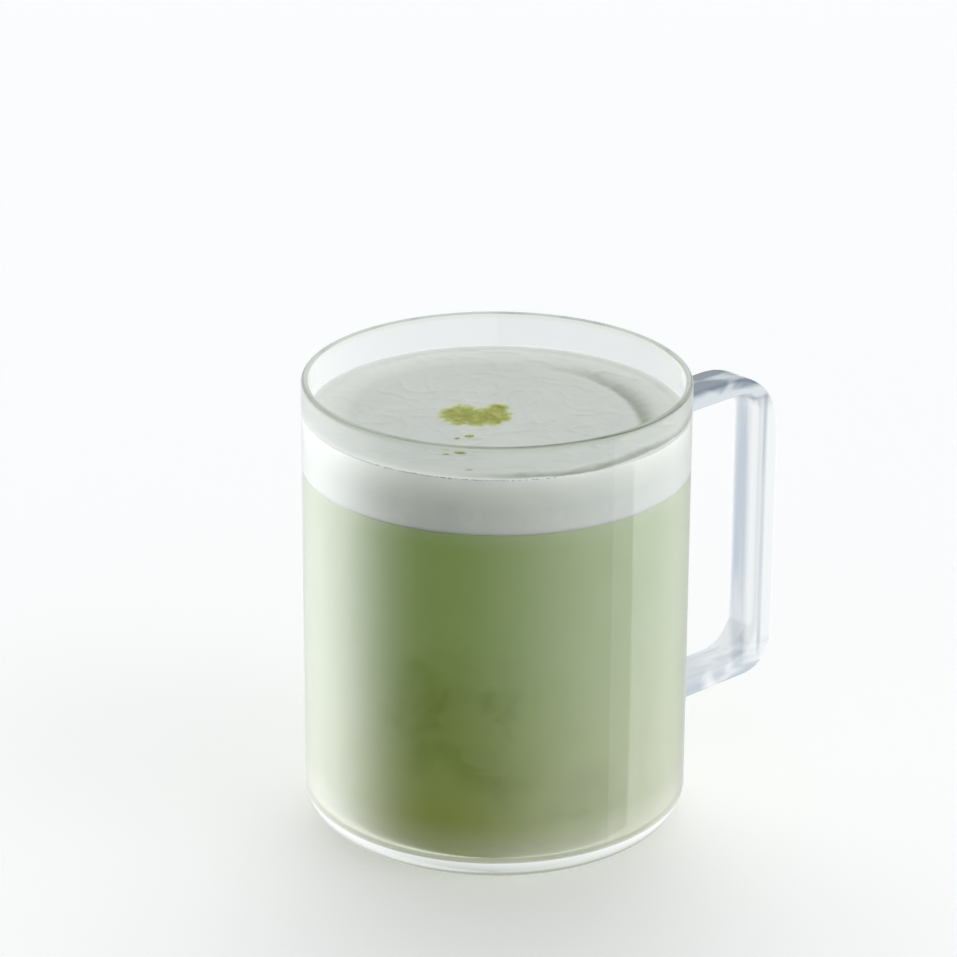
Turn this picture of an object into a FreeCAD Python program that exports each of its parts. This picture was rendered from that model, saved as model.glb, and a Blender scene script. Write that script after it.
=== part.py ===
# Matcha latte in a straight-sided glass mug with a strap handle.
#
# Frame: the origin is the middle of the mug's flat underside, +Z is up and +X points at the handle.
# Three solids: the glass mug with its handle in one piece, the green latte up to the level where
# the milk foam begins, and the white foam layer with its domed middle, shallow ring and raised edge.
import FreeCAD, Part
import math
import os

Vector = FreeCAD.Vector
UP = Vector(0, 0, 1)

# --- driving dimensions, in millimetres -------------------------------------------------------

# glass body
MUG_DIAMETER = 86.0
MUG_HEIGHT = 103.0
WALL = 1.8
FLOOR = 4.2              # thickness of the glass under the drink
BOTTOM_ROUND = 6.6       # outside corner between the side and the underside
INSIDE_ROUND = 5.0       # inside corner between the side and the floor

# handle: a strap of glass, two limbs and an upright grip
HANDLE_REACH = 44.2      # from the side of the mug to the outer face of the grip
HANDLE_BELOW_RIM = 17.6  # from the rim down to the top of the upper limb
HANDLE_ABOVE_ROUND = 1.8 # from the end of the bottom round up to the lower limb's underside
HANDLE_WIDTH = 9.2       # across the strap
UPPER_LIMB = 4.8         # thickness of the upper limb
LOWER_LIMB = 5.4         # thickness of the lower limb
GRIP = 6.0               # thickness of the upright
UPPER_BEND_OUTSIDE = 16.4
UPPER_BEND_INSIDE = 7.0
LOWER_BEND_OUTSIDE = 8.6
LOWER_BEND_INSIDE = 7.9
STRAP_EDGE = 1.5         # rounding along the strap's four edges
ROOT_FILLET = 1.6        # where the limbs melt into the side of the mug

# drink
FOAM_BELOW_RIM = 9.0     # from the rim down to the foam's level
FOAM_THICKNESS = 11.3
FOAM_DOME = 0.35         # rise of the middle disc above the foam's level
RING_RADIUS = 33.0       # middle of the shallow ring round the disc
RING_WIDTH = 5.6
RING_DEPTH = 0.5
FOAM_CLIMB = 1.2         # how far the foam climbs the glass above its level
CLIMB_WIDTH = 2.6        # how far from the glass it starts to climb
FILL_GAP = 0.05          # between the drink and the glass, so that the round faces do not cross

# --- sizes that follow from them --------------------------------------------------------------

mug_radius = MUG_DIAMETER / 2
bore_radius = mug_radius - WALL
fill_radius = bore_radius - FILL_GAP
foam_level = MUG_HEIGHT - FOAM_BELOW_RIM
latte_level = foam_level - FOAM_THICKNESS
grip_outside = mug_radius + HANDLE_REACH
grip_inside = grip_outside - GRIP
upper_limb_top = MUG_HEIGHT - HANDLE_BELOW_RIM
upper_limb_underside = upper_limb_top - UPPER_LIMB
lower_limb_underside = BOTTOM_ROUND + HANDLE_ABOVE_ROUND
lower_limb_top = lower_limb_underside + LOWER_LIMB


# --- outlines in the XZ plane -----------------------------------------------------------------

def at(x, z):
    """A point in the XZ plane."""
    return Vector(x, 0, z)


def line(start, end):
    return Part.LineSegment(start, end).toShape()


def arc(start, middle, end):
    return Part.Arc(start, middle, end).toShape()


def corner_arc(centre, radius, from_angle, to_angle):
    """An arc about a centre, its angles in degrees from +X towards +Z."""
    def on(angle):
        turn = math.radians(angle)
        return centre + Vector(radius * math.cos(turn), 0, radius * math.sin(turn))
    return arc(on(from_angle), on((from_angle + to_angle) / 2), on(to_angle))


def arc_level_at(start, end):
    """An arc that runs level at its start and curves up or down to its end."""
    run = end.x - start.x
    rise = end.z - start.z
    radius = (run ** 2 + rise ** 2) / (2 * rise)
    half_turn = math.atan2(run / radius, 1 - rise / radius) / 2
    middle = start + Vector(radius * math.sin(half_turn), 0, radius * (1 - math.cos(half_turn)))
    return arc(start, middle, end)


def revolve(edges):
    """The solid that a closed outline makes in one turn about the Z axis."""
    face = Part.Face(Part.Wire(edges))
    return face.revolve(Vector(0, 0, 0), UP, 360)


# --- glass body -------------------------------------------------------------------------------

def glass_body():
    """The straight wall with a rounded lip, and the thick floor with rounded corners."""
    lip = WALL / 2
    lip_start = MUG_HEIGHT - lip
    outside_corner = at(mug_radius - BOTTOM_ROUND, BOTTOM_ROUND)
    inside_corner = at(bore_radius - INSIDE_ROUND, FLOOR + INSIDE_ROUND)
    lip_centre = at(mug_radius - lip, lip_start)
    return revolve([
        line(at(0, 0), at(outside_corner.x, 0)),
        corner_arc(outside_corner, BOTTOM_ROUND, -90, 0),
        line(at(mug_radius, BOTTOM_ROUND), at(mug_radius, lip_start)),
        corner_arc(lip_centre, lip, 0, 90),
        corner_arc(lip_centre, lip, 90, 180),
        line(at(bore_radius, lip_start), at(bore_radius, inside_corner.z)),
        corner_arc(inside_corner, INSIDE_ROUND, 0, -90),
        line(at(inside_corner.x, FLOOR), at(0, FLOOR)),
        line(at(0, FLOOR), at(0, 0)),
    ])


# --- handle -----------------------------------------------------------------------------------

def bracket(reach, top, bottom, upper_bend, lower_bend):
    """A flat plate from the mug's axis out to reach, its two outer corners rounded."""
    upper = at(reach - upper_bend, top - upper_bend)
    lower = at(reach - lower_bend, bottom + lower_bend)
    wire = Part.Wire([
        line(at(0, bottom), at(lower.x, bottom)),
        corner_arc(lower, lower_bend, -90, 0),
        line(at(reach, lower.z), at(reach, upper.z)),
        corner_arc(upper, upper_bend, 0, 90),
        line(at(upper.x, top), at(0, top)),
        line(at(0, top), at(0, bottom)),
    ])
    plate = Part.Face(wire).extrude(Vector(0, HANDLE_WIDTH, 0))
    plate.translate(Vector(0, -HANDLE_WIDTH / 2, 0))
    return plate


def on_strap_side(edge):
    """True for an edge that runs along one of the strap's two flat sides."""
    box = edge.BoundBox
    side = HANDLE_WIDTH / 2
    lies_flat = box.YLength < 1e-6 and abs(abs(box.YMin) - side) < 1e-6
    return lies_flat and box.XMax > mug_radius


def handle():
    """The strap, from the middle of the mug's wall out round the grip and back."""
    outside = bracket(grip_outside, upper_limb_top, lower_limb_underside,
                      UPPER_BEND_OUTSIDE, LOWER_BEND_OUTSIDE)
    inside = bracket(grip_inside, upper_limb_underside, lower_limb_top,
                     UPPER_BEND_INSIDE, LOWER_BEND_INSIDE)
    strap = outside.cut(inside)
    strap = strap.makeFillet(STRAP_EDGE, [e for e in strap.Edges if on_strap_side(e)])
    core = Part.makeCylinder(mug_radius - WALL / 2, MUG_HEIGHT)
    return strap.cut(core)


def on_root(edge):
    """True for an edge where a limb meets the outside of the mug."""
    radii = [math.hypot(v.X, v.Y) for v in edge.Vertexes]
    near_handle = all(v.X > 0 and abs(v.Y) <= HANDLE_WIDTH / 2 for v in edge.Vertexes)
    on_wall = all(abs(r - mug_radius) < 1e-4 for r in radii)
    at_limb = all(BOTTOM_ROUND < v.Z < upper_limb_top + 1e-4 for v in edge.Vertexes)
    return near_handle and on_wall and at_limb


def glass_mug():
    """Body and handle in one piece of glass, the limbs' roots filleted into the side."""
    glass = glass_body().fuse(handle()).removeSplitter()
    return glass.makeFillet(ROOT_FILLET, [e for e in glass.Edges if on_root(e)])


# --- drink ------------------------------------------------------------------------------------

def latte():
    """The green drink: it fills the glass from the floor up to the foam."""
    fill_round = INSIDE_ROUND - FILL_GAP
    corner = at(fill_radius - fill_round, FLOOR + fill_round)
    return revolve([
        line(at(0, FLOOR), at(corner.x, FLOOR)),
        corner_arc(corner, fill_round, -90, 0),
        line(at(fill_radius, corner.z), at(fill_radius, latte_level)),
        line(at(fill_radius, latte_level), at(0, latte_level)),
        line(at(0, latte_level), at(0, FLOOR)),
    ])


def foam():
    """The milk foam: a domed disc, a shallow ring round it, and an edge that climbs the glass."""
    ring_inner = RING_RADIUS - RING_WIDTH / 2
    ring_outer = RING_RADIUS + RING_WIDTH / 2
    climb_start = fill_radius - CLIMB_WIDTH
    dome_top = at(0, foam_level + FOAM_DOME)
    edge_top = at(fill_radius, foam_level + FOAM_CLIMB)
    return revolve([
        line(at(0, latte_level), at(fill_radius, latte_level)),
        line(at(fill_radius, latte_level), edge_top),
        arc_level_at(at(climb_start, foam_level), edge_top),
        line(at(climb_start, foam_level), at(ring_outer, foam_level)),
        arc(at(ring_outer, foam_level), at(RING_RADIUS, foam_level - RING_DEPTH),
            at(ring_inner, foam_level)),
        arc_level_at(dome_top, at(ring_inner, foam_level)),
        line(dome_top, at(0, latte_level)),
    ])


# --- output -----------------------------------------------------------------------------------

NODES = {
    "mug": glass_mug,
    "latte": latte,
    "foam": foam,
}


def main():
    os.makedirs("parts", exist_ok=True)
    for name, make in NODES.items():
        shape = make()
        shape.exportStep("parts/" + name + ".step")
        print(name, len(shape.Solids), "solid,", round(shape.Volume / 1000, 2), "cm3, valid",
              shape.isValid(), shape.BoundBox)


main()
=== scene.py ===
import bmesh
import bpy
import math
import random
from mathutils import Matrix, Vector, noise


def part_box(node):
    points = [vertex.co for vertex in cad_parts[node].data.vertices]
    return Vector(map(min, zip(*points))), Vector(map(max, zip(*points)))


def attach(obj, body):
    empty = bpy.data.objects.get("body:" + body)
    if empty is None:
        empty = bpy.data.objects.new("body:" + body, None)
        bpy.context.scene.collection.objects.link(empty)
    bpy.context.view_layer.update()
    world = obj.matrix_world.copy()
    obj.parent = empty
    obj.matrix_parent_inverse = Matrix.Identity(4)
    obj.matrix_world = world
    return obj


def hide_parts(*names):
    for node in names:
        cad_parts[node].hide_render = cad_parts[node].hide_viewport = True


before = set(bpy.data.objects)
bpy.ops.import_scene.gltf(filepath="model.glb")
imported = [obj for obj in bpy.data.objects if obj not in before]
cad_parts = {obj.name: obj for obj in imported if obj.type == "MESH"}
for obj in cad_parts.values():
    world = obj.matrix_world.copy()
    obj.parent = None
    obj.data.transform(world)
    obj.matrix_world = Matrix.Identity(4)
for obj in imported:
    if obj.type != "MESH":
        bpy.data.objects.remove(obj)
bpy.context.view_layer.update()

# A matcha latte in a straight glass mug. The glass, the green drink, the milk foam, the matcha on
# it and the bubbles at its edge are pieces of their own. All lengths are metres.

MM = 0.001

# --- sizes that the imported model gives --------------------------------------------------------

mug_low, mug_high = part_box("mug")
latte_low, latte_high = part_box("latte")
foam_low, foam_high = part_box("foam")

FILL_GAP = 0.05 * MM
MUG_RADIUS = -mug_low.x
MUG_HEIGHT = mug_high.z
BORE_RADIUS = latte_high.x + FILL_GAP
FLOOR_TOP = latte_low.z
LATTE_TOP = latte_high.z
GRIP_OUTSIDE = mug_high.x

# --- sizes of the glass -----------------------------------------------------------------------

WALL = MUG_RADIUS - BORE_RADIUS
BOTTOM_ROUND = 6.6 * MM
INSIDE_ROUND = 5.0 * MM
HANDLE_TOP = MUG_HEIGHT - 17.6 * MM
HANDLE_UNDERSIDE = BOTTOM_ROUND + 1.8 * MM
HANDLE_WIDTH = 9.2 * MM
UPPER_LIMB = 4.8 * MM
LOWER_LIMB = 5.4 * MM
GRIP = 6.0 * MM
UPPER_BEND_OUTSIDE = 16.4 * MM
UPPER_BEND_INSIDE = 7.0 * MM
LOWER_BEND_OUTSIDE = 8.6 * MM
LOWER_BEND_INSIDE = 7.9 * MM
STRAP_EDGE = 1.7 * MM
ROOT_FLARE = 1.5 * MM
TURNS = 72                # faces round the glass before it is subdivided

# --- sizes of the drink -----------------------------------------------------------------------

BITE = 0.12 * MM          # how far the drink reaches into the glass, so that no gap shows
FOAM_CLIMB = 1.2 * MM
FOAM_LEVEL = foam_high.z - FOAM_CLIMB
RING_RADIUS = 33.0 * MM
FOAM_EDGE = BORE_RADIUS + BITE

# --- the view ---------------------------------------------------------------------------------

HANDLE_TURN = math.radians(43.6)   # how far the handle points away from the viewer's right
VIEW_HEIGHT = 415.1 * MM
VIEW_BACK = 833.1 * MM
LOOKS_AT = (-3.96 * MM, 0.0, 78.85 * MM)
LENS = 152.86                      # with a sensor 36 wide
ROLL = math.radians(0.265)


def seen(across, away):
    """A place on the plan that lies so far to the viewer's right and so far behind the mug's axis."""
    cos, sin = math.cos(HANDLE_TURN), math.sin(HANDLE_TURN)
    return Vector((across * cos + away * sin, away * cos - across * sin, 0))


# --- shader graphs ----------------------------------------------------------------------------

class Value:
    """A node's output. Sums and products with it add Math nodes."""

    def __init__(self, graph, socket):
        self.graph = graph
        self.socket = socket

    def maths(self, operation, *terms):
        inputs = dict(enumerate(terms))
        return self.graph.add("ShaderNodeMath", {"operation": operation}, inputs)

    def __add__(self, other):
        return self.maths("ADD", self, other)

    def __radd__(self, other):
        return self.maths("ADD", other, self)

    def __sub__(self, other):
        return self.maths("SUBTRACT", self, other)

    def __rsub__(self, other):
        return self.maths("SUBTRACT", other, self)

    def __mul__(self, other):
        return self.maths("MULTIPLY", self, other)

    def __rmul__(self, other):
        return self.maths("MULTIPLY", other, self)

    def __truediv__(self, other):
        return self.maths("DIVIDE", self, other)

    def __pow__(self, other):
        return self.maths("POWER", self, other)

    def step(self, start, end, kind="SMOOTHSTEP"):
        """0 below start, 1 above end, and a smooth rise between them."""
        inputs = {"Value": self, "From Min": start, "From Max": end}
        return self.graph.add("ShaderNodeMapRange", {"interpolation_type": kind}, inputs)


class Graph:
    """The node tree of a material or of the world."""

    def __init__(self, owner):
        owner.use_nodes = True
        self.owner = owner
        self.tree = owner.node_tree
        self.tree.nodes.clear()

    def add(self, kind, settings=None, inputs=None, output=0):
        """Adds a node: its settings first, then a value or a link for each socket that is named."""
        node = self.tree.nodes.new(kind)
        for name, value in (settings or {}).items():
            if name == "stops":
                self.set_stops(node.color_ramp, value)
            else:
                setattr(node, name, value)
        for name, value in (inputs or {}).items():
            if isinstance(value, Value):
                self.tree.links.new(value.socket, node.inputs[name])
            else:
                node.inputs[name].default_value = value
        return Value(self, node.outputs[output]) if len(node.outputs) else node

    def set_stops(self, ramp, stops):
        ramp.interpolation = "B_SPLINE"
        while len(ramp.elements) < len(stops):
            ramp.elements.new(0.5)
        for element, (place, colour) in zip(ramp.elements, stops):
            element.position = place
            element.color = colour

    def place(self):
        return self.add("ShaderNodeTexCoord", output="Object")

    def parts(self, vector):
        """The x, y and z of a vector."""
        node = self.add("ShaderNodeSeparateXYZ", inputs={0: vector}).socket.node
        return [Value(self, socket) for socket in node.outputs]

    def mix(self, share, first, second, blend="MIX"):
        """A mix of two colours."""
        inputs = {"Factor": share, 6: first, 7: second}
        return self.add("ShaderNodeMix", {"data_type": "RGBA", "blend_type": blend}, inputs, 2)

    def stretched(self, place, factors):
        return self.add("ShaderNodeVectorMath", {"operation": "MULTIPLY"}, {0: place, 1: factors})

    def noise(self, place, scale, detail=3.0, distortion=0.0, output="Fac"):
        inputs = {"Vector": place, "Scale": scale, "Detail": detail, "Distortion": distortion}
        return self.add("ShaderNodeTexNoise", inputs=inputs, output=output)

    def bump(self, height, distance, strength=1.0):
        inputs = {"Height": height, "Distance": distance, "Strength": strength}
        return self.add("ShaderNodeBump", inputs=inputs)

    def surface(self, inputs):
        return self.add("ShaderNodeBsdfPrincipled", inputs=inputs)

    def finish(self, shader):
        self.add("ShaderNodeOutputMaterial", inputs={"Surface": shader})
        return self.owner


def graph(name):
    return Graph(bpy.data.materials.new(name))


def shown(red, green, blue):
    """A colour given as 0 to 255 on a screen, as the light that it stands for."""
    light = [((v / 255 + 0.055) / 1.055) ** 2.4 for v in (red, green, blue)]
    return (*light, 1.0)


# --- materials --------------------------------------------------------------------------------

FILM_IOR = 2.2            # the wet film where the drink lies against the glass


def clear_glass():
    """Polished glass: faintly wavy, a touch smeared, and open to the rays that light the drink. Its lip
    carries a painted dark line, and its handle carries painted reflections in blue-grey and white bands.
    """
    g = graph("clear glass")
    place = g.place()
    waves = g.noise(place, 46.0, 1.0)
    smears = g.noise(place, 130.0, 4.0).step(0.48, 0.75)
    across, away, height = g.parts(place)
    clean = g.mix(smears, (0.985, 0.995, 0.985, 1.0), (0.96, 0.975, 0.97, 1.0))
    lip = g.mix(height.step(MUG_HEIGHT - 1.6 * MM, MUG_HEIGHT - 0.6 * MM), clean, (0.86, 0.91, 0.78, 1.0))
    # Painted shade: a dark line along the crown of the lip, standing in for the dark refraction there.
    painted_rim_line = height.step(MUG_HEIGHT - 0.42 * MM, MUG_HEIGHT - 0.2 * MM) * (0.5 + smears * 0.3)
    lip_with_painted_line = g.mix(painted_rim_line, lip, (0.10, 0.12, 0.14, 1.0))
    # Painted reflections on the handle: blue-grey and white bands that stand in for the room refracted in the
    # strap, darker on the upper limb.
    thick = across.step(MUG_RADIUS + 1.5 * MM, MUG_RADIUS + 6 * MM)
    upper = height.step(HANDLE_TOP - 12 * MM, HANDLE_TOP - 4 * MM)
    flat = upper + (1 - height.step(10 * MM, 18 * MM))
    side = across * math.cos(HANDLE_TURN) - away * math.sin(HANDLE_TURN)
    broad = side.step(55.4 * MM, 57 * MM) * (1 - side.step(58.4 * MM, 60.4 * MM))
    narrow = side.step(62.1 * MM, 62.6 * MM) * (1 - side.step(62.9 * MM, 63.6 * MM))
    uneven = g.noise(g.stretched(place, (1.0, 1.0, 0.1)), 250.0, 2.0).step(0.3, 0.6)
    down = 1 - (broad + narrow) * (0.55 + uneven * 0.45)
    along = g.noise(g.stretched(place, (0.3, 1.0, 1.0)), 170.0, 2.0, 0.4).step(0.42, 0.60)
    painted_reflection_bands = down + (along - down) * flat
    # The dark and the bright colours of the handle's painted reflection bands.
    dark = g.mix(upper, (0.30, 0.37, 0.46, 1.0), (0.06, 0.09, 0.13, 1.0))
    light = g.mix(upper, (0.90, 0.93, 0.96, 1.0), (0.52, 0.60, 0.67, 1.0))
    foot = 1 - height.step(2 * MM, 6.5 * MM)
    body = g.mix(foot, lip_with_painted_line, (0.36, 0.40, 0.27, 1.0))
    tint = g.mix(thick, body, g.mix(painted_reflection_bands, dark, light))
    glass = g.surface({
        "Base Color": tint,
        "Roughness": smears * 0.008 + 0.002,
        "IOR": 1.48,
        "Transmission Weight": 1.0,
        "Normal": g.bump(waves, 0.25 * MM, 0.12),
    })
    through = g.add("ShaderNodeBsdfTransparent", inputs={"Color": (0.95, 0.96, 0.95, 1.0)})
    for ray in ("Is Shadow Ray", "Is Diffuse Ray", "Is Glossy Ray"):
        kind = g.add("ShaderNodeLightPath", output=ray)
        glass = g.add("ShaderNodeMixShader", inputs={0: kind, 1: glass, 2: through})
    return g.finish(glass)


# Drifts of darker tea in the drink: the angle from the viewer round to the right, the height and
# the reach of each.
TEA_DRIFTS = [(-14, 42 * MM, 19 * MM), (-2, 30 * MM, 11 * MM), (30, 20 * MM, 9 * MM), (110, 36 * MM, 16 * MM),
              (-130, 30 * MM, 18 * MM), (170, 46 * MM, 14 * MM)]


def green_drink():
    """Matcha in milk: a soft green body, paler clouds of milk, darker drifts of tea near the floor."""
    g = graph("green latte")
    place = g.place()
    height = g.parts(place)[2] / LATTE_TOP
    clouds = g.noise(place, 30.0, 4.0, 0.9).step(0.40, 0.72)
    curls = g.noise(place, 62.0, 5.0, 1.6).step(0.42, 0.70)
    swirl = g.noise(place, 44.0, 3.0, 1.2)
    low = 1 - height.step(0.10, 0.60)
    body = g.mix(height.step(0.08, 0.70), shown(153, 165, 84), shown(148, 170, 98))
    milky = g.mix(clouds * low * 0.45, body, shown(178, 186, 142))
    tea = 0.0
    for angle, level, reach in TEA_DRIFTS:
        turn = math.radians(angle)
        middle = seen(BORE_RADIUS * math.sin(turn), -BORE_RADIUS * math.cos(turn)) + Vector((0, 0, level))
        far = g.add("ShaderNodeVectorMath", {"operation": "DISTANCE"}, {0: place, 1: middle}, "Value")
        near = 1 - (far / reach + swirl * 1.6 - 0.8).step(0.2, 1.25)
        tea = near if tea == 0.0 else tea.maths("MAXIMUM", tea, near)
    drift = g.mix(tea * (0.35 + curls * 0.65) * 0.75, milky, shown(119, 137, 56))
    # Paler towards the glass floor, most where the milk clouds are.
    paler_near_floor = g.mix((1 - height.step(0.07, 0.19)) * (0.6 + clouds * 0.3), drift, shown(204, 206, 176))
    top = g.mix(height.step(0.95, 1.0) * 0.3, paler_near_floor, shown(176, 190, 152))
    return g.finish(g.surface({
        "Base Color": top,
        "Roughness": 0.4 + clouds * 0.2,
        "Specular IOR Level": 0.0,
        "Coat Weight": 1.0 - curls * 0.1,
        "Coat IOR": FILM_IOR,
        "Coat Roughness": 0.05,
    }))


def milk_foam():
    """Fine wet foam: cool white in the middle, brighter towards the edge by painted light, greyer in the
    hollow ring by painted shade and by thinner wet foam, stained where the matcha lies."""
    g = graph("milk foam")
    place = g.place()
    across, away, height = g.parts(place)
    reach = (across * across + away * away) ** 0.5
    patches = g.noise(place, 60.0, 4.0, 0.8)
    streaks = g.noise(place, 240.0, 4.0, 1.5)
    cool = g.mix(patches.step(0.35, 0.7), shown(212, 217, 210), shown(219, 222, 213))
    # Painted light that brightens the foam towards its outer edge.
    cream = g.add("ShaderNodeAttribute", {"attribute_name": "cream"}, output="Fac")
    # Painted shade in the hollow ring, together with thinner wet foam there.
    thin = g.add("ShaderNodeAttribute", {"attribute_name": "thin"}, output="Fac")
    stain = g.add("ShaderNodeAttribute", {"attribute_name": "stain"}, output="Fac")
    white = g.mix(cream, cool, shown(246, 248, 240))
    wet_and_shaded = g.mix(thin * (0.75 + streaks * 0.4), white, shown(164, 170, 152))
    veined = g.mix(streaks.step(0.52, 0.75) * 0.25, wet_and_shaded, shown(232, 236, 228))
    stained = g.mix(stain, veined, shown(196, 206, 112))
    bubbles = g.add("ShaderNodeTexVoronoi", {"feature": "F1"}, {"Vector": place, "Scale": 2600.0})
    grain = g.noise(place, 1500.0, 2.0)
    return g.finish(g.surface({
        "Base Color": stained,
        "Roughness": 0.38 + patches * 0.25,
        "Specular IOR Level": 0.35,
        "Subsurface Weight": 1.0,
        "Subsurface Radius": (1.0, 1.0, 1.0),
        "Subsurface Scale": 2.2 * MM,
        "Coat Weight": reach.step(FOAM_EDGE - 0.3 * MM, FOAM_EDGE - 0.1 * MM),
        "Coat IOR": FILM_IOR,
        "Coat Roughness": 0.05,
        "Normal": g.bump(bubbles * 0.6 + grain * 0.4, 0.05 * MM, 0.25),
    }))


def matcha_powder():
    """Wet green tea powder, darker where it clumps and thinner towards its edge."""
    g = graph("matcha powder")
    place = g.place()
    cover = g.add("ShaderNodeAttribute", {"attribute_name": "cover"}, output="Fac")
    clumps = g.noise(place, 380.0, 4.0, 0.6)
    grains = g.noise(place, 1500.0, 2.0)
    colour = g.mix(clumps.step(0.36, 0.66), shown(160, 168, 66), shown(190, 192, 98))
    dark = g.mix(grains.step(0.5, 0.72) * 0.45, colour, shown(138, 148, 54))
    thinned = g.mix(cover.step(0.1, 0.75), shown(196, 203, 104), dark)
    return g.finish(g.surface({
        "Base Color": thinned,
        "Roughness": 0.6 + grains * 0.3,
        "Alpha": (cover + (clumps - 0.5) * 0.3).step(-0.05, 0.75),
        "Normal": g.bump(grains, 0.08 * MM, 0.6),
    }))


def bubble_film():
    """The milk skins of the small bubbles along the glass."""
    g = graph("bubble film")
    shade = g.noise(g.place(), 700.0, 2.0)
    return g.finish(g.surface({
        "Base Color": g.mix(shade.step(0.35, 0.65), shown(190, 200, 206), shown(212, 218, 218)),
        "Roughness": 0.12 + shade * 0.1,
    }))


def pale_floor():
    g = graph("pale floor")
    place = g.place()
    cloud = g.noise(place, 3.0, 2.0)
    across, away, _ = g.parts(place)
    reach = (across * across + away * away) ** 0.5
    return g.finish(g.surface({
        "Base Color": g.mix(cloud, (0.90, 0.90, 0.90, 1.0), (0.92, 0.92, 0.92, 1.0)),
        "Roughness": 0.6 + cloud * 0.2,
        "Specular IOR Level": 0.1,
        "Alpha": 1 - reach.step(0.35, 2.2),
        "Emission Color": (1.0, 1.0, 1.0, 1.0),
        "Emission Strength": 0.3,
    }))


# --- modelling helpers ------------------------------------------------------------------------

def lathe(outline, turns, offset=0.0):
    """A bmesh turned from an outline of (radius, height) points about the Z axis."""
    mesh = bmesh.new()
    start = Matrix.Rotation(offset, 4, "Z")
    points = [mesh.verts.new(start @ Vector((r, 0, z))) for r, z in outline]
    edges = [mesh.edges.new(pair) for pair in zip(points, points[1:])]
    bmesh.ops.spin(mesh, geom=points + edges, cent=(0, 0, 0), axis=(0, 0, 1),
                   angle=math.tau, steps=turns, use_merge=True)
    bmesh.ops.remove_doubles(mesh, verts=mesh.verts, dist=0.001 * MM)
    bmesh.ops.recalc_face_normals(mesh, faces=mesh.faces)
    return mesh


SHARP = math.radians(50)


def piece(mesh, name, material, slot, *nodes):
    """Makes an object of a finished bmesh and fixes it to the frame."""
    for edge in mesh.edges:
        edge.smooth = edge.calc_face_angle(0.0) < SHARP
    for face in mesh.faces:
        face.smooth = True
    data = bpy.data.meshes.new(name)
    mesh.to_mesh(data)
    mesh.free()
    data.materials.append(material)
    thing = bpy.data.objects.new(name, data)
    bpy.context.scene.collection.objects.link(thing)
    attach(thing, "root")
    if nodes:
        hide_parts(*nodes)
    return thing


def held(step):
    """What a subdivided arc of such steps keeps of its radius."""
    return (2 + math.cos(step)) / 3


def cage_arc(centre, radius, start, end, steps):
    """Points whose subdivided curve is an arc. The angles are degrees from the radius to +Z."""
    step = math.radians(end - start) / steps
    reach = radius / held(step)
    angles = [math.radians(start) + step * i for i in range(steps + 1)]
    return [(centre[0] + reach * math.cos(a), centre[1] + reach * math.sin(a)) for a in angles]


# --- the glass --------------------------------------------------------------------------------

def limb_rows(underside, top):
    """The heights of the four rows of points that a limb's root grows from."""
    return [underside - ROOT_FLARE, underside + STRAP_EDGE, top - STRAP_EDGE, top + ROOT_FLARE]


LOWER_ROWS = limb_rows(HANDLE_UNDERSIDE, HANDLE_UNDERSIDE + LOWER_LIMB)
UPPER_ROWS = limb_rows(HANDLE_TOP - UPPER_LIMB, HANDLE_TOP)


def glass_outline():
    """The body's outline: underside, side, lip, bore and floor, from the axis back to the axis."""
    lip = WALL / 2
    lip_height = MUG_HEIGHT - lip
    corner = (MUG_RADIUS - BOTTOM_ROUND, BOTTOM_ROUND + 0.06 * MM)
    inside = (BORE_RADIUS - INSIDE_ROUND, FLOOR_TOP + INSIDE_ROUND)
    plain = [25, 38, 52, 66]
    side = LOWER_ROWS + [z * MM for z in plain] + UPPER_ROWS + [lip_height - 8 * MM, lip_height - MM]
    bore = [lip_height - MM, lip_height - 8 * MM, 0.08, 0.06, 0.04, 0.02, inside[1] + MM]
    points = [(0, 0.5 * MM), (MUG_RADIUS * 0.4, 0.5 * MM), (MUG_RADIUS * 0.7, 0.3 * MM)]
    points += cage_arc(corner, BOTTOM_ROUND, -90, 0, 6)
    points += [(MUG_RADIUS, z) for z in side]
    points += cage_arc((MUG_RADIUS - lip, lip_height), lip, 0, 180, 6)
    points += [(BORE_RADIUS, z) for z in bore]
    points += cage_arc(inside, INSIDE_ROUND, 0, -90, 5)
    points += [(BORE_RADIUS * 0.7, FLOOR_TOP), (BORE_RADIUS * 0.35, FLOOR_TOP), (0, FLOOR_TOP)]
    grow = 1 / held(math.tau / TURNS)
    return [(r * grow, z) for r, z in points]


def open_root(mesh, rows):
    """Opens the side where a limb grows, and gives the opening's points by column and row."""
    low, high = rows[0] - 0.01 * MM, rows[-1] + 0.01 * MM
    half = math.radians(7.6)

    def in_patch(point):
        near = abs(math.atan2(point.y, point.x)) < half and low < point.z < high
        return near and math.hypot(point.x, point.y) > MUG_RADIUS - WALL / 2

    faces = [f for f in mesh.faces if all(in_patch(v.co) for v in f.verts)]
    points = {v for f in faces for v in f.verts}
    bmesh.ops.delete(mesh, geom=faces, context="FACES")
    points = [v for v in points if v.is_valid]
    columns = sorted({round(v.co.y, 6) for v in points})
    return {(columns.index(round(v.co.y, 6)), nearest(rows, v.co.z)): v for v in points}


def nearest(rows, height):
    return min(range(len(rows)), key=lambda i: abs(rows[i] - height))


def between(start, end, share):
    return start + (end - start) * share


def bend(outer, outer_radius, inner, inner_radius, start, end, steps):
    """Pairs of outer and inner points round a bend about its two centres."""
    pairs = []
    for i in range(steps + 1):
        turn = math.radians(between(start, end, i / steps))
        way = Vector((math.cos(turn), 0, math.sin(turn)))
        pairs.append((outer + way * outer_radius, inner + way * inner_radius))
    return pairs


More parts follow.
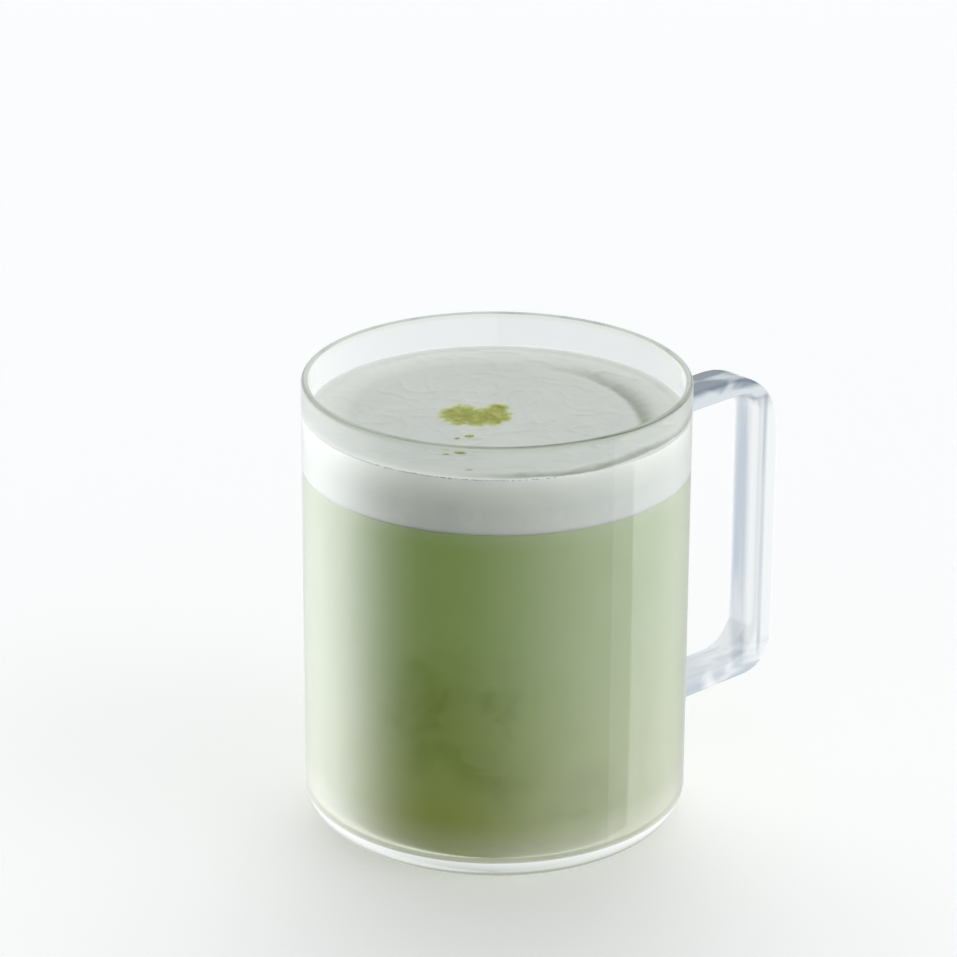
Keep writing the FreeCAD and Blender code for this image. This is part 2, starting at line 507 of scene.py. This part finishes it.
def handle_stations():
    """Outer and inner points of the strap, from the upper root round the grip to the lower root."""
    grip_inside = GRIP_OUTSIDE - GRIP
    upper_inner = HANDLE_TOP - UPPER_LIMB
    lower_inner = HANDLE_UNDERSIDE + LOWER_LIMB
    top_bend = bend(
        Vector((GRIP_OUTSIDE - UPPER_BEND_OUTSIDE, 0, HANDLE_TOP - UPPER_BEND_OUTSIDE)),
        UPPER_BEND_OUTSIDE,
        Vector((grip_inside - UPPER_BEND_INSIDE, 0, upper_inner - UPPER_BEND_INSIDE)),
        UPPER_BEND_INSIDE, 90, 0, 6)
    foot_bend = bend(
        Vector((GRIP_OUTSIDE - LOWER_BEND_OUTSIDE, 0, HANDLE_UNDERSIDE + LOWER_BEND_OUTSIDE)),
        LOWER_BEND_OUTSIDE,
        Vector((grip_inside - LOWER_BEND_INSIDE, 0, lower_inner + LOWER_BEND_INSIDE)),
        LOWER_BEND_INSIDE, 0, -90, 5)

    def limb(outer, inner, first, last):
        return [(Vector((between(first, last, s), 0, outer)), Vector((between(first, last, s), 0, inner)))
                for s in (0, 0.12, 0.5, 1)]

    near = MUG_RADIUS + 1.1 * MM
    upper = limb(HANDLE_TOP, upper_inner, near, top_bend[0][0].x - 3 * MM)
    lower = limb(HANDLE_UNDERSIDE, lower_inner, near, foot_bend[-1][0].x - 3 * MM)
    grip = [tuple(between(a, b, s) for a, b in zip(top_bend[-1], foot_bend[0])) for s in (0.2, 0.5, 0.8)]
    return upper + top_bend + grip + foot_bend + lower[::-1]


def strap_section(outer, inner):
    """The twelve points of the strap's section, by column and by row from inside to outside."""
    half = HANDLE_WIDTH / 2
    thick = (outer - inner).length
    across = [-half, -half + STRAP_EDGE, half - STRAP_EDGE, half]
    rows = [0, STRAP_EDGE / thick, 1 - STRAP_EDGE / thick, 1]
    return {(i, j): between(inner, outer, rows[j]) + Vector((0, across[i], 0))
            for i in range(4) for j in range(4) if i in (0, 3) or j in (0, 3)}


def ring_edges(points):
    """The edges of a ring of points that is still open on one side."""
    ring = set(points)
    edges = {e for v in points for e in v.link_edges if e.is_boundary}
    return [e for e in edges if e.verts[0] in ring and e.verts[1] in ring]


def next_ring(mesh, ring, places):
    """Extrudes a ring of points by one station."""
    made = bmesh.ops.extrude_edge_only(mesh, edges=ring_edges(list(ring.values())))["geom"]
    new = {v for v in made if isinstance(v, bmesh.types.BMVert)}
    after = {}
    for key, old in ring.items():
        follower = next(e.other_vert(old) for e in old.link_edges if e.other_vert(old) in new)
        follower.co = places[key]
        after[key] = follower
    return after


def glass_mug():
    """Body and handle in one skin: the strap is drawn out of the side and melts back into it."""
    mesh = lathe(glass_outline(), TURNS, math.pi / TURNS)
    upper = open_root(mesh, UPPER_ROWS)
    lower = open_root(mesh, LOWER_ROWS)
    ring = upper
    for outer, inner in handle_stations():
        ring = next_ring(mesh, ring, strap_section(outer, inner))
    landing = {(i, j): lower[i, 3 - j].co.copy() for i, j in ring}
    next_ring(mesh, ring, landing)
    bmesh.ops.remove_doubles(mesh, verts=mesh.verts, dist=0.01 * MM)
    bmesh.ops.recalc_face_normals(mesh, faces=mesh.faces)
    mug = piece(mesh, "glass_mug", clear_glass(), "glass", "mug")
    rounding = mug.modifiers.new("melted glass", "SUBSURF")
    rounding.levels = rounding.render_levels = 2
    return mug


# --- the drink --------------------------------------------------------------------------------

def drink():
    """The green latte, from the glass floor up to the foam."""
    corner = (FOAM_EDGE - INSIDE_ROUND, FLOOR_TOP - BITE + INSIDE_ROUND)
    steps = 8
    turn = [math.radians(-90 + 90 * i / steps) for i in range(steps + 1)]
    outline = [(0, FLOOR_TOP - BITE)]
    outline += [(corner[0] + INSIDE_ROUND * math.cos(a), corner[1] + INSIDE_ROUND * math.sin(a)) for a in turn]
    outline += [(FOAM_EDGE, between(corner[1], LATTE_TOP, s)) for s in (0.25, 0.5, 0.75, 1)]
    outline += [(0, LATTE_TOP)]
    return piece(lathe(outline, 256), "green_latte", green_drink(), "latte", "latte")


def ease(value, low, high):
    """0 below low, 1 above high, and a smooth rise between them."""
    t = min(max((value - low) / (high - low), 0.0), 1.0)
    return t * t * (3 - 2 * t)


def creases(point, scale, seed):
    """Thin winding ridges, from 0 to 1."""
    warp = noise.noise_vector(point * scale * 0.5 + Vector((seed, 0, 0)))
    value = noise.noise(point * scale + warp * 0.9 + Vector((0, seed, seed)))
    return max(0.0, 1 - abs(value) * 6) ** 2


def foam_ring(x, y):
    """Distance beyond the hollow ring, and how deep the ring is on that side, from 0 to 1."""
    away = x * math.sin(HANDLE_TURN) + y * math.cos(HANDLE_TURN)
    across = x * math.cos(HANDLE_TURN) - y * math.sin(HANDLE_TURN)
    facing = math.atan2(away, across)
    drift = noise.noise(Vector((x, y, 0)) / MM * 0.06) * 1.6 * MM
    depth = 0.10 + 0.90 * ease(math.cos(facing + 0.3), -0.1, 0.85)
    return math.hypot(x, y) - (RING_RADIUS - 0.8 * MM + drift), depth


def foam_height(x, y):
    """The height of the foam's top: a domed disc, a hollow ring, a rise to the glass and wrinkles."""
    r = math.hypot(x, y)
    point = Vector((x, y, 0)) / MM
    beyond, depth = foam_ring(x, y)
    spread = (1.5 if beyond < 0 else 2.6) * MM
    hollow = math.exp(-(beyond / spread) ** 2) * 0.85 * MM * depth
    dome = 0.45 * MM * (1 - min(r / RING_RADIUS, 1.0) ** 2)
    climb = FOAM_CLIMB * (0.5 * ease(r, RING_RADIUS, FOAM_EDGE) + 0.5 * ease(r, FOAM_EDGE - 2.2 * MM, FOAM_EDGE))
    swell = noise.noise(point * 0.11 + Vector((7, 3, 0))) * 0.14 * MM
    fine = (creases(point, 0.13, 3.0) * 0.24 + creases(point, 0.27, 9.0) * 0.14) * MM
    calm = 1 - ease(r, FOAM_EDGE - 3 * MM, FOAM_EDGE - 0.5 * MM)
    return FOAM_LEVEL + dome - hollow + climb + (swell + fine) * calm


# Where matcha lies: middle, half-length and half-width of each patch as the viewer sees them, in
# millimetres.
MATCHA_PATCHES = [
    ((-8.0, -1.6), 4.6, 6.4),
    ((-4.4, -3.0), 4.4, 5.6),
    ((-0.6, -2.2), 4.0, 5.8),
    ((0.4, 2.4), 2.4, 3.0),
    ((-6.0, -14.4), 1.1, 0.8),
    ((-8.6, -15.6), 0.7, 0.5),
    ((-5.0, -27.7), 0.8, 0.5),
]


def matcha_cover(x, y):
    """How much matcha lies at a place, above 0 where there is any."""
    point = Vector((x, y, 0)) / MM
    cover = -1.0
    for (across, away), long, wide in MATCHA_PATCHES:
        offset = point - seen(across, away)
        u = offset.x * math.cos(HANDLE_TURN) - offset.y * math.sin(HANDLE_TURN)
        v = offset.x * math.sin(HANDLE_TURN) + offset.y * math.cos(HANDLE_TURN)
        cover = max(cover, 1 - math.hypot(u / long, v / wide))
    return cover + noise.noise(point * 0.55) * 0.22 + noise.noise(point * 1.6) * 0.10


def foam():
    """The foam layer, its top shaped point by point, its tints kept as attributes: painted light at the
    edge, painted shade with thinner foam in the hollow ring, and the matcha stain.
    """
    rings = 84
    top = [(FOAM_EDGE * (1 - i / rings), FOAM_LEVEL) for i in range(rings + 1)]
    outline = [(0, LATTE_TOP), (FOAM_EDGE, LATTE_TOP), (FOAM_EDGE, between(LATTE_TOP, FOAM_LEVEL, 0.5))]
    mesh = lathe(outline + top, 320)
    stain, thin, cream = [mesh.verts.layers.float.new(name) for name in ("stain", "thin", "cream")]
    for vert in mesh.verts:
        if vert.co.z > FOAM_LEVEL - 0.01 * MM:
            x, y = vert.co.x, vert.co.y
            beyond, depth = foam_ring(x, y)
            spread = (1.3 if beyond < 0 else 2.2) * MM
            vert.co.z = foam_height(x, y)
            vert[stain] = ease(matcha_cover(x, y), -0.22, 0.25) * 0.9
            # Painted shade in the hollow ring, deepest on one side, where the foam is also thinner.
            vert[thin] = math.exp(-((beyond + 0.2 * MM) / spread) ** 2) * depth
            # Painted light: brighter towards the outer edge, less where the hollow ring is deep.
            vert[cream] = ease(math.hypot(x, y), 27 * MM, FOAM_EDGE - 1 * MM) * (1 - 0.35 * depth)
    return piece(mesh, "milk_foam", milk_foam(), "foam", "foam")


def matcha():
    """The spot of matcha and its flecks: thin crusts that sink into the foam at their edges."""
    mesh = bmesh.new()
    layer = mesh.verts.layers.float.new("cover")
    for middle, reach in ((seen(-4.0, -1.4), 11.0), (seen(-7.0, -15.0), 3.2), (seen(-5.0, -27.7), 1.4)):
        made = bmesh.ops.create_grid(mesh, x_segments=90, y_segments=90, size=reach * MM,
                                     matrix=Matrix.Translation(middle * MM))
        for vert in made["verts"]:
            x, y = vert.co.x, vert.co.y
            vert[layer] = matcha_cover(x, y)
            lumps = 0.02 + 0.10 * abs(noise.noise(vert.co / MM * 1.9)) + 0.04 * noise.noise(vert.co / MM * 4.5)
            vert.co.z = foam_height(x, y) + (0.02 + lumps * ease(vert[layer], 0.15, 0.6)) * MM
    bare = [f for f in mesh.faces if all(v[layer] < -0.1 for v in f.verts)]
    bmesh.ops.delete(mesh, geom=bare, context="FACES")
    return piece(mesh, "matcha", matcha_powder(), "latte")


def edge_bubbles():
    """Small bubbles that cling along the glass where the foam climbs it, most of them in one run."""
    draw = random.Random(41)
    mesh = bmesh.new()
    for _ in range(260):
        turn = -math.pi / 2 - 0.35 + draw.gauss(0, 0.32) - HANDLE_TURN
        size = draw.uniform(0.10, 0.26) * MM
        r = BORE_RADIUS - size * 0.8 - abs(draw.gauss(0, 0.6)) * MM
        x, y = r * math.cos(turn), r * math.sin(turn)
        where = Matrix.Translation((x, y, foam_height(x, y) + size * 0.1))
        bmesh.ops.create_icosphere(mesh, subdivisions=1, radius=size, matrix=where)
    return piece(mesh, "edge_bubbles", bubble_film(), "foam")


# --- stage ------------------------------------------------------------------------------------

def floor():
    mesh = bmesh.new()
    bmesh.ops.create_circle(mesh, cap_ends=True, segments=96, radius=4.0)
    data = bpy.data.meshes.new("floor")
    mesh.to_mesh(data)
    mesh.free()
    data.materials.append(pale_floor())
    ground = bpy.data.objects.new("floor", data)
    ground.location.z = -0.02 * MM
    bpy.context.scene.collection.objects.link(ground)
    ground.visible_glossy = False
    ground.visible_transmission = False


# How bright the room is at each angle from the viewer round to the right, in degrees: below the
# horizon, as the sides of the glass mirror it, and higher up.
LOW_ROOM = [(-180, 0.85), (-160, 1.0), (-140, 1.9), (-122, 2.7), (-104, 3.2), (-85, 2.5), (-70, 1.25), (-54, 0.35),
            (-38, 0.02), (-17, 0.02), (8, 0.32), (33, 0.8), (62, 1.35), (88, 1.3), (100, 1.35), (118, 1.2),
            (140, 0.9), (160, 0.8), (180, 0.8)]
HIGH_ROOM = [(-180, 4.4), (-155, 3.4), (-120, 0.2), (-60, 0.1), (-40, 0.4), (-20, 0.8), (10, 0.4),
             (40, 0.6), (65, 2.3), (90, 1.1), (110, 0.2), (140, 1.6), (165, 3.6), (180, 4.4)]
HORIZON = 0.3
CEILING = 0.2
PANEL = 0.7               # what the tall panel on the right adds, behind its sharp edge
PANEL_EDGE = 72.5
BRIGHTEST = 5.0
BACKDROP = 0.92           # what shows through the glass, and its share there
BACKDROP_SHARE = 0.75
ROOM_TINT = (0.97, 0.985, 1.0)


def grey(brightness):
    return (*(c * brightness / BRIGHTEST for c in ROOM_TINT), 1.0)


def room_ramp(g, turn, stops):
    """The room's colour by the share of a whole turn, from (angle, brightness) pairs."""
    colours = [((angle + 180) / 360, grey(value)) for angle, value in stops]
    return g.add("ShaderNodeValToRGB", {"stops": colours}, {"Fac": turn})


def studio():
    """The room round the mug: a broad light on the left, a tall panel on the right, a lit back wall."""
    world = bpy.data.worlds.new("studio")
    bpy.context.scene.world = world
    g = Graph(world)
    way = g.add("ShaderNodeTexCoord", output="Generated")
    turned = g.add("ShaderNodeVectorRotate", {"rotation_type": "Z_AXIS"}, {"Vector": way, "Angle": HANDLE_TURN})
    across, away, up = g.parts(turned)
    turn = across.maths("ARCTAN2", across, away * -1) / math.tau + 0.5
    level = up.maths("ARCSINE", up) * (180 / math.pi)
    panel_light = g.mix(turn.step(0.5 + (PANEL_EDGE - 0.3) / 360, 0.5 + (PANEL_EDGE + 0.3) / 360),
                        grey(0), grey(PANEL))
    faded = g.mix(turn.step(0.5 + 120 / 360, 0.5 + 160 / 360), panel_light, grey(0))
    low = g.mix(1.0, room_ramp(g, turn, LOW_ROOM), faded, "ADD")
    low = g.mix(level.step(-8, 2, "LINEAR"), low, grey(HORIZON))
    high = g.mix(level.step(10, 42, "LINEAR"), low, room_ramp(g, turn, HIGH_ROOM))
    whole = g.mix(level.step(40, 72, "LINEAR"), high, grey(CEILING))
    through_glass = g.add("ShaderNodeLightPath", output="Is Transmission Ray")
    whole = g.mix(through_glass * BACKDROP_SHARE, whole, grey(BACKDROP))
    mirrored = g.add("ShaderNodeLightPath", output="Is Glossy Ray")
    whole = g.mix(mirrored * level.step(0, 8) * 0.8, whole, grey(0.6))
    seen_by_eye = g.add("ShaderNodeLightPath", output="Is Camera Ray")
    shade = g.add("ShaderNodeBackground", inputs={"Color": whole, "Strength": BRIGHTEST})
    plain = g.add("ShaderNodeBackground", inputs={"Color": (1.0, 1.0, 1.0, 1.0), "Strength": 1.0})
    mixed = g.add("ShaderNodeMixShader", inputs={0: seen_by_eye, 1: shade, 2: plain})
    g.add("ShaderNodeOutputWorld", inputs={"Surface": mixed})


def camera():
    eye = seen(0, -VIEW_BACK) + Vector((0, 0, VIEW_HEIGHT))
    target = seen(LOOKS_AT[0], LOOKS_AT[1]) + Vector((0, 0, LOOKS_AT[2]))
    data = bpy.data.cameras.new("camera")
    data.lens = LENS
    data.sensor_width = 36
    data.clip_start = 0.01
    holder = bpy.data.objects.new("camera", data)
    holder.location = eye
    aim = (target - eye).to_track_quat("-Z", "Y").to_matrix().to_4x4()
    holder.rotation_euler = (aim @ Matrix.Rotation(ROLL, 4, "Z")).to_euler()
    bpy.context.scene.collection.objects.link(holder)
    bpy.context.scene.camera = holder


camera()
floor()
studio()
bpy.context.scene.view_settings.view_transform = "Standard"

glass_mug()
drink()
foam()
matcha()
edge_bubbles()
